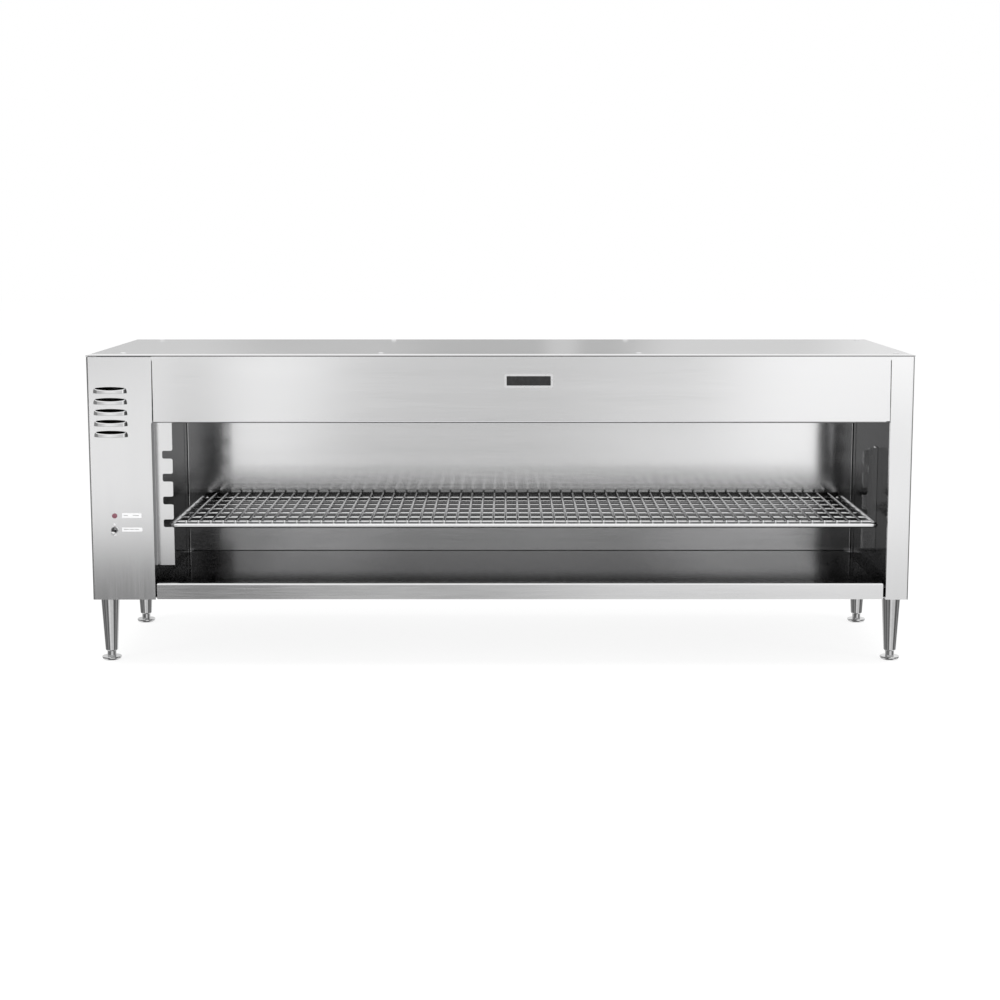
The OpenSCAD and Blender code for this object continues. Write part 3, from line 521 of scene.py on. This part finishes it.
def plate(bm, left, right, bottom, top, corner, front=-0.12, back=0.02):
    """A thin plate with rounded corners on the cabinet's front face."""
    outline = []
    for k, (x, z) in enumerate(((right - corner, top - corner), (left + corner, top - corner),
                                (left + corner, bottom + corner), (right - corner, bottom + corner))):
        outline += [(x + dx, z + dz) for dx, dz in arc(range(90 * k, 90 * k + 91, 15), corner, corner)]
    prism(bm, [spot(x, front, z) for x, z in outline], [spot(x, back, z) for x, z in outline])


def make_wires():
    """The rack's front-to-back wires with domed, ground ends."""
    low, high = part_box("rack_cross_wires")
    radius = (high.z - low.z) / 2.0
    r, length = radius / MM, (high.y - low.y) / MM
    dome = [(r * math.sin(math.radians(a)), r * DOME_SHARE * (1.0 - math.cos(math.radians(a))))
            for a in (0, 30, 55, 75, 90)]
    tail = [(x, length - z) for x, z in dome[::-1]]
    bm = bmesh.new()
    for k in range(WIRE_COUNT):
        x = low.x + radius + (high.x - low.x - 2.0 * radius) * k / (WIRE_COUNT - 1)
        turned(bm, dome + tail, Vector((x, low.y, (low.z + high.z) / 2.0)), REARWARD, 20)
    piece("rack_wires_domed", bm, "cross", "rack_chrome", "rack_cross_wires",
          body=body_of(nodes["rack_cross_wires"])[0])


def screw_head():
    """Mesh of one pan head with its cross recess, its seat at the origin and its axis along Z."""
    bm = bmesh.new()
    arch = [(x, HEAD_EDGE + z) for x, z in arc(range(0, 73, 18), HEAD_R, HEAD_H - HEAD_EDGE)]
    turned(bm, [(0.0, -0.2), (2.0, -0.2), (2.0, 0.0), (HEAD_R - 0.15, 0.0), (HEAD_R, 0.15)] + arch
           + [(0.0, HEAD_H)], Vector(), Matrix(), 36)
    head = bpy.data.objects.new("head", mesh_of("head", bm))
    w, n = RECESS_REACH, RECESS_HALF
    quarter = [(w, n), (n, n), (n, w)]
    cross = quarter + [(-y, x) for x, y in quarter]
    cross += [(-x, -y) for x, y in cross]
    bm = bmesh.new()
    prism(bm, [Vector((x, y, HEAD_H + 0.5)) * MM for x, y in cross],
          [Vector((x * 0.72, y * 0.8, RECESS_FLOOR)) * MM for x, y in cross])
    cutter = bpy.data.objects.new("cutter", mesh_of("cut", bm))
    for obj in (head, cutter):
        bpy.context.scene.collection.objects.link(obj)
    boolean = head.modifiers.new("recess", "BOOLEAN")
    boolean.operation, boolean.solver, boolean.object = "DIFFERENCE", "EXACT", cutter
    depsgraph = bpy.context.evaluated_depsgraph_get()
    result = bpy.data.meshes.new_from_object(head.evaluated_get(depsgraph))
    for obj in (head, cutter):
        bpy.data.objects.remove(obj)
    return result


def add_screws(name, head, seats, replaced):
    """One piece with a screw head at each seat, a (place, turn) pair."""
    bm = bmesh.new()
    for place, turn_to in seats:
        before = len(bm.verts)
        bm.from_mesh(head)
        bm.verts.ensure_lookup_table()
        bmesh.ops.transform(bm, matrix=Matrix.Translation(place) @ turn_to, verts=bm.verts[before:])
    piece(name, bm, "screw", "screw_steel", replaced, crease=30.0)


def make_screws():
    """The cover's 2 rows of 4 screws and the rear panel's 2 columns of 3, each turned its own way."""
    head = screw_head()
    r, h = HEAD_R * MM, HEAD_H * MM
    low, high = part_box("top_screws")
    xs = [low.x + r + (high.x - low.x - 2.0 * r) * k / 3.0 for k in range(4)]
    seats = [(Vector((x, y, high.z - h)), Matrix.Rotation(0.7 * k + 1.9 * (y > 0), 4, "Z"))
             for k, x in enumerate(xs) for y in (low.y + r, high.y - r)]
    add_screws("cover_screw_heads", head, seats, "top_screws")
    low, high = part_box("back_screws")
    zs = [low.z + r, (low.z + high.z) / 2.0, high.z - r]
    seats = [(Vector((x, high.y - h, z)), REARWARD @ Matrix.Rotation(0.5 + 0.9 * k, 4, "Z"))
             for x in (low.x + r, high.x - r) for k, z in enumerate(zs)]
    add_screws("rear_screw_heads", head, seats, "back_screws")
    bpy.data.meshes.remove(head)


def level_with(node, y):
    """The point at depth y, straight ahead of or behind the middle of a node."""
    low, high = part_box(node)
    return Vector(((low.x + high.x) / 2.0, y, (low.z + high.z) / 2.0))


def knurl(k, radius):
    """Ridges two spokes wide on a nut's rim."""
    return 0.93 if radius > 6.0 and k % 4 in (0, 1) else 1.0


def facets(k, radius):
    """Every other spoke of a cap's side drawn in."""
    return 0.975 if radius > 2.0 and k % 2 else 1.0


def make_controls():
    """The switch's knurled nut and threaded bushing, and the pilot light's cap."""
    seat = level_with("switch_nut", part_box("switch_nut")[1].y)
    bm = bmesh.new()
    turned(bm, [(5.05, 0.0), (6.25, 0.0), (6.3, 0.35), (6.3, 1.75), (5.9, 2.4), (5.05, 2.4)],
           seat, FORWARD, 96, closed=True, wave=knurl)
    piece("switch_face_nut", bm, "screw", "dark_metal", "switch_nut", crease=25.0)
    ridges = []
    for z in (2.42, 3.02, 3.62, 4.22):
        ridges += [(4.98, z), (5.2, z + 0.2), (5.2, z + 0.3)]
    bm = bmesh.new()
    turned(bm, [(4.6, 2.42)] + ridges + [(4.98, 4.92), (4.6, 4.92)], seat, FORWARD, 48, closed=True)
    piece("switch_bushing_thread", bm, "screw", "dark_metal", crease=20.0)
    dome = [(x, 1.5 + z) for x, z in arc(range(10, 90, 10), 3.7, 1.6)]
    bm = bmesh.new()
    turned(bm, [(0.0, 0.05), (3.85, 0.05), (3.88, 0.5), (3.8, 1.4)] + dome + [(0.0, 3.1)],
           level_with("pilot_lens", FRONT), FORWARD, 48, wave=facets)
    piece("pilot_cap", bm, "lens", "red_lens", "pilot_lens", crease=50.0)


def make_plates():
    """Bare plates: two labels, the switch's marks I and O, and the nameplate."""
    switch = level_with("switch_nut", FRONT)
    x, z = switch.x / MM, (switch.z - BASE) / MM
    bm = bmesh.new()
    for label in LABELS:
        plate(bm, *label)
    plate(bm, x - 1.6, x + 1.6, z + 6.5, z + 9.4, 0.6)
    plate(bm, x - 1.6, x + 1.6, z - 9.4, z - 6.5, 0.6)
    piece("blank_label_plates", bm, "print_white", "white_ceramic")
    bm = bmesh.new()
    for left, right, height in DASHES:
        plate(bm, left, right, height - 0.45, height + 0.45, 0.3, front=-0.16, back=-0.1)
    plate(bm, x - 0.14, x + 0.14, z + 7.2, z + 8.7, 0.1, front=-0.16, back=-0.1)
    turned(bm, [(0.5, 0.1), (0.76, 0.1), (0.76, 0.16), (0.5, 0.16)], spot(x, 0.0, z - 7.95),
           FORWARD, 24, closed=True)
    piece("label_dashes", bm, "print_grey", "dark_metal")
    bm = bmesh.new()
    plate(bm, *NAMEPLATE_RIM, front=-0.35)
    piece("blank_nameplate_rim", bm, "rim", "outer_steel")
    bm = bmesh.new()
    plate(bm, *NAMEPLATE_FIELD, front=-0.5, back=-0.3)
    piece("blank_nameplate_field", bm, "enamel", "dark_metal")


make_wires()
make_screws()
make_controls()
make_plates()

# ---------- Floor, studio and lamps ----------


def make_floor():
    """A pale floor that shows as white and keeps the object's soft shadow."""
    mesh = bpy.data.meshes.new("floor")
    bm = bmesh.new()
    bmesh.ops.create_grid(bm, x_segments=1, y_segments=1, size=14.0)
    bm.to_mesh(mesh)
    bm.free()
    floor = bpy.data.objects.new("floor", mesh)
    floor.location.z = -0.0002
    floor.visible_glossy = False
    bpy.context.scene.collection.objects.link(floor)
    mat = bpy.data.materials.new("floor_white")
    mat.use_nodes = True
    g = Graph(mat.node_tree)
    out = g.add("ShaderNodeOutputMaterial")
    where = g.add("ShaderNodeTexCoord").outputs["Object"]
    colour = g.mix(g.noise(where, 0.7), (0.80, 0.80, 0.80, 1.0), (0.84, 0.84, 0.84, 1.0))
    diffuse = g.add("ShaderNodeBsdfDiffuse", Color=colour)
    faint = g.add("ShaderNodeBsdfDiffuse", Color=(0.22, 0.22, 0.22, 1.0))
    glow = g.add("ShaderNodeEmission", Strength=0.84)
    both = g.add("ShaderNodeAddShader", i0=faint.outputs[0], i1=glow.outputs[0])
    seen = g.add("ShaderNodeLightPath").outputs["Is Camera Ray"]
    pick = g.add("ShaderNodeMixShader", i0=seen, i1=diffuse.outputs[0], i2=both.outputs[0])
    g.put(out.inputs["Surface"], pick.outputs[0])
    mesh.materials.append(mat)


def make_world():
    """A white studio whose soft boxes and dark gaps only reflections see.

    turn is degrees to the right of straight ahead of the cabinet, behind the same at its rear, and
    rise degrees above the horizon.
    """
    world = bpy.data.worlds.new("studio")
    bpy.context.scene.world = world
    world.use_nodes = True
    g = Graph(world.node_tree)
    out = g.add("ShaderNodeOutputWorld")
    x, y, z = g.parts(g.add("ShaderNodeTexCoord").outputs["Generated"])
    turn = g.math("DEGREES", g.math("ARCTAN2", x, g.times(y, -1.0)))
    behind = g.math("DEGREES", g.math("ARCTAN2", x, y))
    rise = g.math("DEGREES", g.math("ARCSINE", z))
    lean = g.ramp(rise, -6.6, -5.0, 3.6, 0.0)
    # Seen in the hood and the back wall
    high = g.patches(
        0.54,
        (0.25, (rise, -6.4, -3.6)),
        (g.ramp(rise, -6.5, -3.8, 0.54, 0.34), (g.total(turn, g.times(lean, 0.5)), -3.6, -6.4),
         (turn, -26.0, -14.0)),
        (-0.62, (turn, -10.1, -9.4), (turn, -8.1, -9.1)),
        (-0.42, (turn, -9.2, -12.0), (rise, -5.6, -3.8)),
        (g.ramp(rise, -8.4, -5.8, 0.40, 0.46), (g.total(turn, lean), 5.2, 8.6), (turn, 42.0, 14.0)),
        (0.4, (turn, -8.5, -6.5), (turn, 12.0, 8.0), (rise, -9.4, -8.8), (rise, -7.0, -7.8)),
        (g.ramp(turn, -3.0, 4.5, -0.09, -0.135), (turn, -6.3, -3.8), (turn, 7.6, 5.6)),
        (-0.05, (turn, 6.5, 8.5)),
        (0.2, (turn, 0.7, 2.4), (turn, 5.6, 3.8), (rise, -6.0, -7.4), (rise, -9.6, -8.6)),
        (-0.3, (turn, -14.0, -26.0)),
        (-0.4, (turn, 56.0, 74.0)),
        (0.2, (turn, 84.0, 96.0)))
    # Seen in the tray's lip and the foot of the front
    low = g.patches(
        0.13,
        (0.2, (turn, -7.6, -5.4)),
        (0.28, (turn, -1.0, 4.0)),
        (0.14, (turn, 5.0, 11.0)),
        (-0.60, (turn, 26.0, 58.0)),
        (0.25, (turn, 84.0, 96.0)),
        (0.22, (turn, -70.0, -84.0)))
    # Seen in the tapered legs
    leg = g.patches(
        0.12,
        (0.13, (turn, -66.0, -58.0), (turn, -34.0, -42.0)),
        (0.50, (turn, -24.0, -15.0), (turn, 54.0, 43.0)),
        (0.18, (turn, -12.0, -6.0), (turn, 8.0, 2.0)),
        (0.26, (turn, 80.0, 88.0), (turn, 100.0, 92.0)),
        (0.14, (turn, -80.0, -88.0), (turn, -100.0, -92.0)))
    ahead = g.blend(g.step(rise, -10.6, -8.2), low, high)
    ahead = g.blend(g.step(rise, -11.6, -12.8), ahead, leg)
    ahead = g.blend(g.step(rise, -22.0, -40.0), ahead, 0.80)
    ahead = g.blend(g.step(rise, -52.0, -66.0), ahead, 0.10)
    ahead = g.blend(g.step(rise, -1.0, 3.0), ahead, 0.92)
    ahead = g.patches(ahead, (-0.64, (rise, 8.8, 9.5), (rise, 15.0, 12.5)))
    # Seen in the cover
    rear = g.patches(
        0.46,
        (0.07, (behind, -1.5, -4.0)),
        (0.10, (behind, -6.5, -9.5)),
        (0.12, (behind, 0.8, 1.5), (behind, 2.4, 1.8)),
        (0.20, (behind, 2.8, 5.2)),
        (0.16, (behind, 8.5, 11.0)))
    studio = g.blend(g.step(g.math("ABSOLUTE", turn), 110.0, 150.0), ahead, rear)
    studio = g.blend(g.step(rise, 8.0, 22.0), studio, 0.95)
    colour = g.add("ShaderNodeCombineColor", i0=studio, i1=studio, i2=studio).outputs[0]
    boxes = g.add("ShaderNodeBackground", Color=colour, Strength=1.0).outputs[0]
    soft = g.add("ShaderNodeBackground", Color=(0.92, 0.92, 0.92, 1.0), Strength=0.8).outputs[0]
    white = g.add("ShaderNodeBackground", Color=(1.0, 1.0, 1.0, 1.0), Strength=1.0).outputs[0]
    path = g.add("ShaderNodeLightPath").outputs
    pick = g.add("ShaderNodeMixShader", i0=path["Is Glossy Ray"], i1=soft, i2=boxes).outputs[0]
    pick = g.add("ShaderNodeMixShader", i0=path["Is Camera Ray"], i1=pick, i2=white).outputs[0]
    g.put(out.inputs["Surface"], pick)


def area(name, place, aim, size, watts):
    """A rectangular lamp that reflections don't see."""
    data = bpy.data.lights.new(name, "AREA")
    data.shape = "RECTANGLE"
    data.size, data.size_y = size
    data.energy = watts
    lamp = bpy.data.objects.new(name, data)
    lamp.location = place
    lamp.rotation_euler = (Vector(aim) - Vector(place)).to_track_quat("-Z", "Y").to_euler()
    lamp.visible_glossy = False
    bpy.context.scene.collection.objects.link(lamp)


make_floor()
make_world()
area("top_light", (0.0, -0.4, 3.0), (0.0, 0.0, 0.0), (3.4, 2.0), 45.0)
area("left_light", (-3.0, -2.6, 1.5), (0.0, 0.0, 0.3), (1.2, 2.2), 26.0)
area("right_light", (3.2, -2.2, 1.4), (0.0, 0.0, 0.3), (1.0, 2.0), 20.0)

scene = bpy.context.scene
scene.view_settings.view_transform = "Standard"
